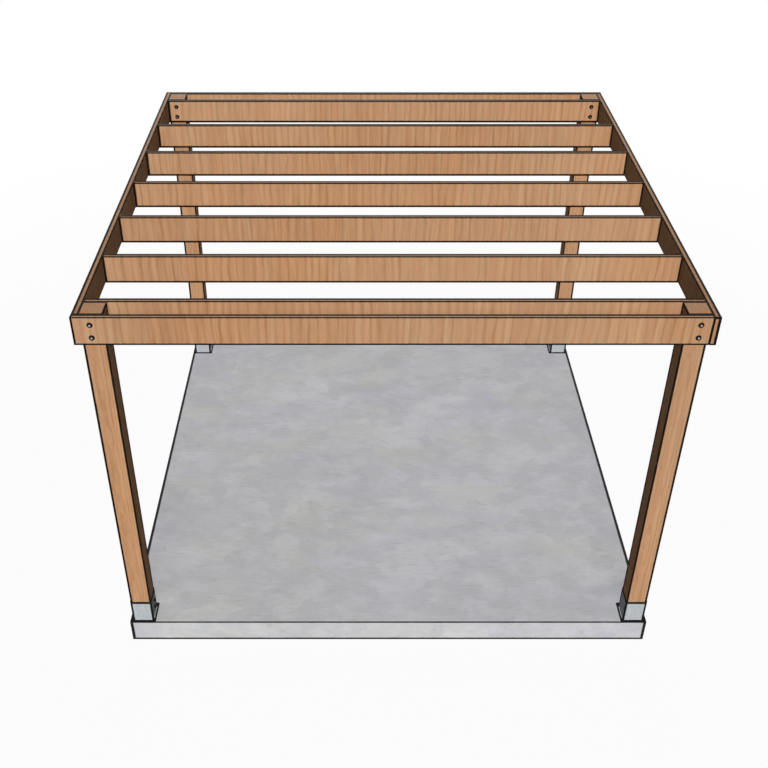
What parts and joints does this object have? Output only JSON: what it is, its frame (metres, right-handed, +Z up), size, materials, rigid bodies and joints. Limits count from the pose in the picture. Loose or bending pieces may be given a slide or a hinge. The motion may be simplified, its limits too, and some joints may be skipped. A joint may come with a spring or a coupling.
{
  "type": "pergola",
  "caption": "Square open timber pergola: corner posts in steel bases on a concrete slab, doubled front and back beams, a lapped board rim and flush rafters.",
  "frame": {"origin": "on the ground, under the middle of the slab", "axes": "+Z up; +Y to the back, across the rafters; +X to the right, along the rafters"},
  "size_m": [3.658, 3.658, 2.676],
  "materials": {
    "board_timber": "matte",
    "post_timber": "matte",
    "galvanised_steel": "satin",
    "concrete": "matte"
  },
  "bodies": {
    "root": {"concrete_slab": "concrete", "front_left_post_base": "galvanised_steel", "front_right_post_base": "galvanised_steel", "back_left_post_base": "galvanised_steel", "back_right_post_base": "galvanised_steel", "front_left_post": "post_timber", "front_right_post": "post_timber", "back_left_post": "post_timber", "back_right_post": "post_timber", "front_outer_beam": "board_timber", "front_inner_beam": "board_timber", "back_outer_beam": "board_timber", "back_inner_beam": "board_timber", "left_side_beam": "board_timber", "right_side_beam": "board_timber", "rafter_1": "board_timber", "rafter_2": "board_timber", "rafter_3": "board_timber", "rafter_4": "board_timber", "rafter_5": "board_timber"}
  },
  "joints": []
}
